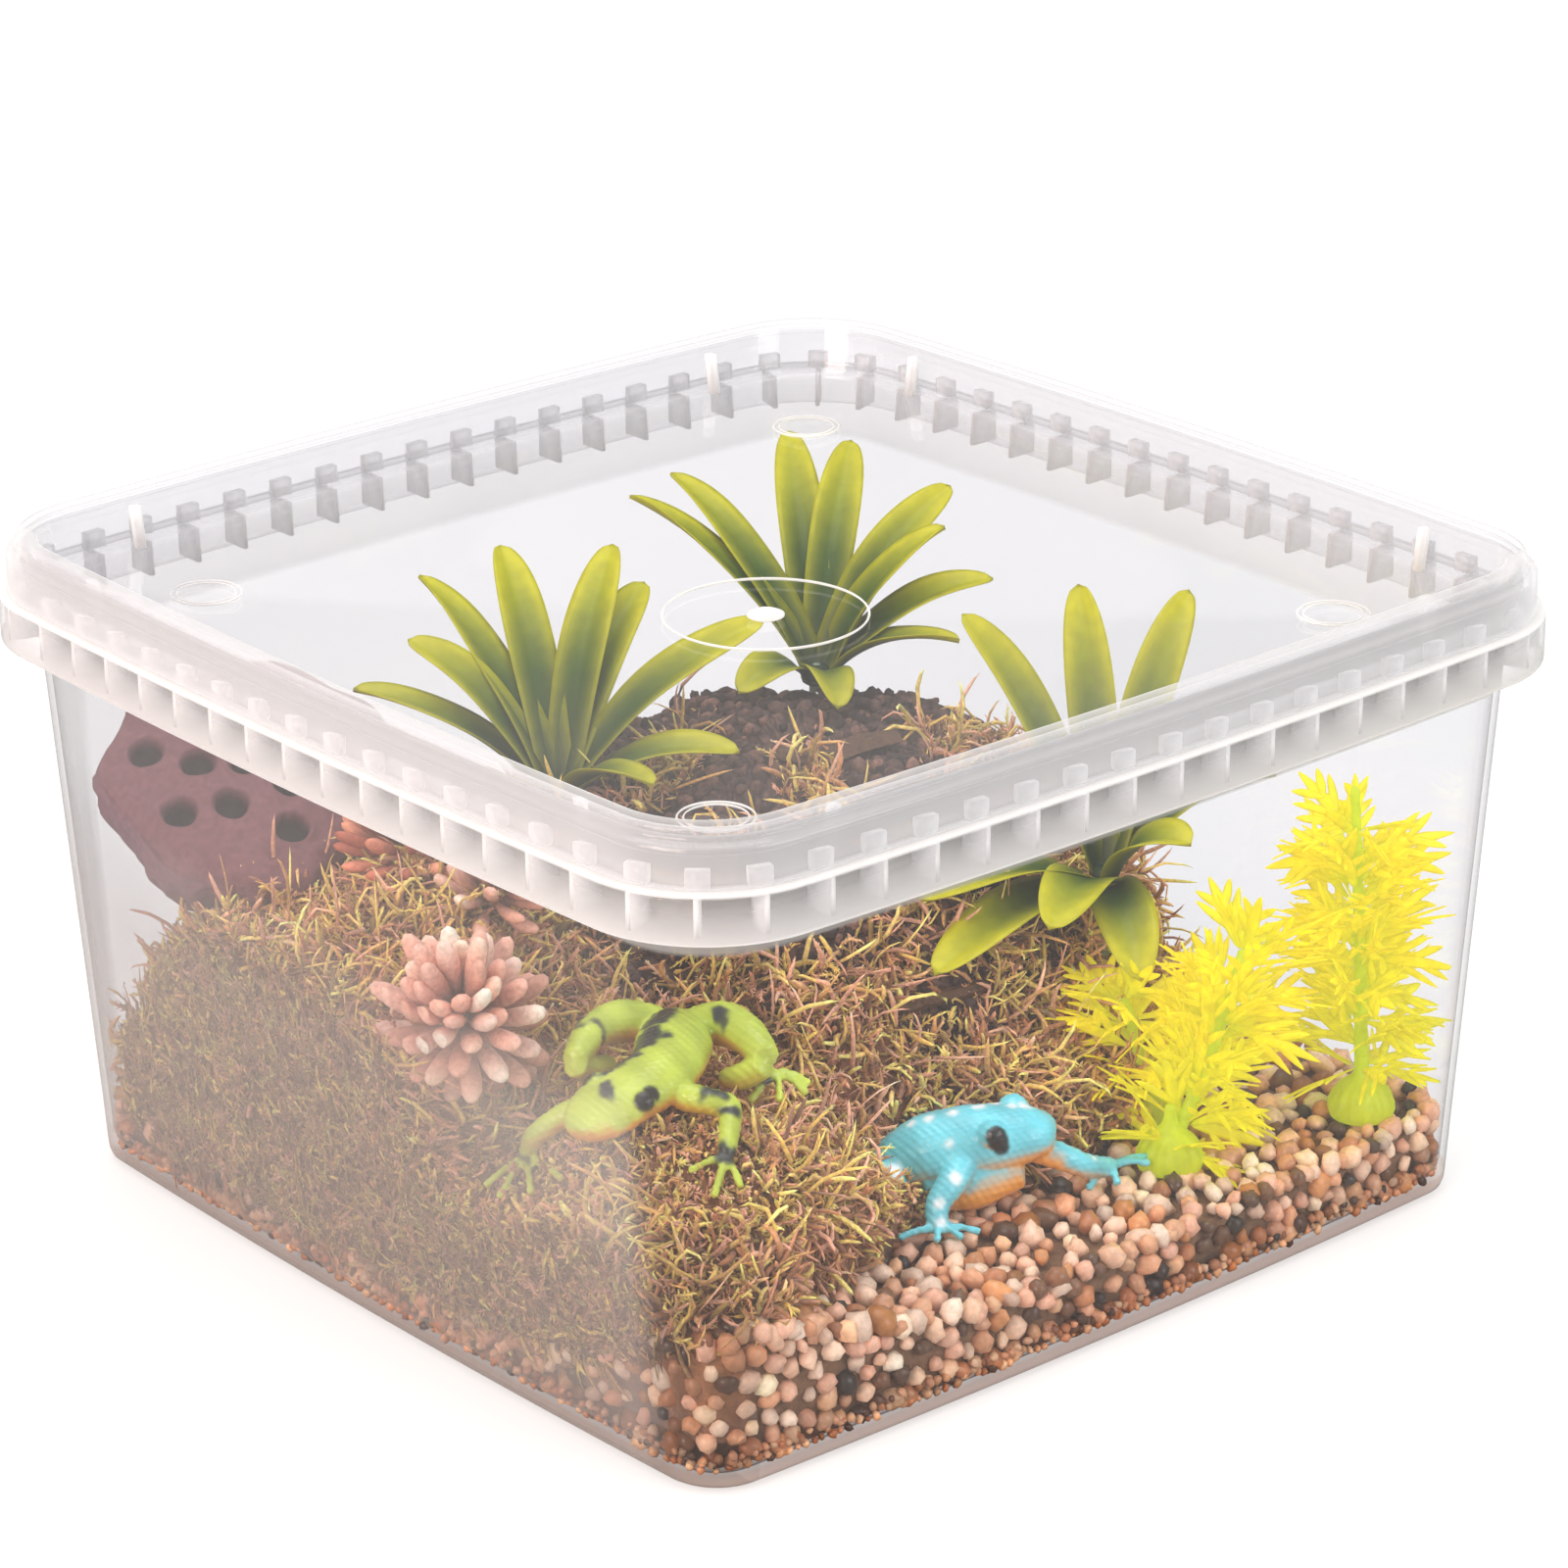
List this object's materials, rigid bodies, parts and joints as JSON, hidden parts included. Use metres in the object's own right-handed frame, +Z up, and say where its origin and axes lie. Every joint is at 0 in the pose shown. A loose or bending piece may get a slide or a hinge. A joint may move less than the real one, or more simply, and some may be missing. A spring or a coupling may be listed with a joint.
{
  "type": "faunarium",
  "caption": "Clear square faunarium tub with a ribbed collar and a lift-off lid, furnished with gravel, moss, cones, a lotus pod, leafy plants and toy frogs.",
  "frame": {"origin": "centre of the bounding box's underside, on the surface that the tub stands on", "axes": "+Z up, -Y the wall on the right in the picture, -X the wall on the left in the picture"},
  "size_m": [0.1958, 0.1958, 0.1133],
  "materials": {
    "clear": "clear, slightly milky",
    "clearLid": "clear",
    "gravel": "natural pebble",
    "soil": "dark bark mould",
    "moss": "dried moss",
    "pod": "dried pod",
    "cone": "dry, pinkish tan",
    "rustCone": "dry, rust red",
    "lime": "painted lime, dark blotches",
    "sky": "painted turquoise",
    "leaf": "green with yellow tips",
    "stalk": "grey green",
    "weed": "soft, bright yellow green",
    "twig": "bark"
  },
  "bodies": {
    "tub_body": {"tub": "clear", "gravel_bed": "gravel", "soil_mound": "soil", "moss_cover": "moss", "lotus_pod": "pod", "cone_front": "cone", "cone_upper": "cone", "cone_rust": "rustCone", "green_frog": "lime", "blue_frog": "sky", "plant_back_stalk": "stalk", "plant_back_leaves_lower": "leaf", "plant_back_leaves_upper": "leaf", "plant_left_stalk": "stalk", "plant_left_leaves_lower": "leaf", "plant_left_leaves_upper": "leaf", "plant_right_stalk": "stalk", "plant_right_leaves_lower": "leaf", "plant_right_leaves_upper": "leaf", "weed_front_stem": "weed", "weed_front_whorl_1": "weed", "weed_front_whorl_2": "weed", "weed_front_whorl_3": "weed", "weed_back_stem": "weed", "weed_back_whorl_1": "weed", "weed_back_whorl_2": "weed", "weed_back_whorl_3": "weed", "weed_back_whorl_4": "weed", "weed_low_stem": "weed", "weed_low_whorl_1": "weed", "twig_front": "twig", "twig_left": "twig", "bark_chip": "twig"},
    "lid_body": {"lid": "clearLid"}
  },
  "joints": [
    {"name": "lid_lift", "type": "slide", "parent": "tub_body", "child": "lid_body", "axis": [0, 0, 1], "range_m": [0, 0.14]}
  ]
}
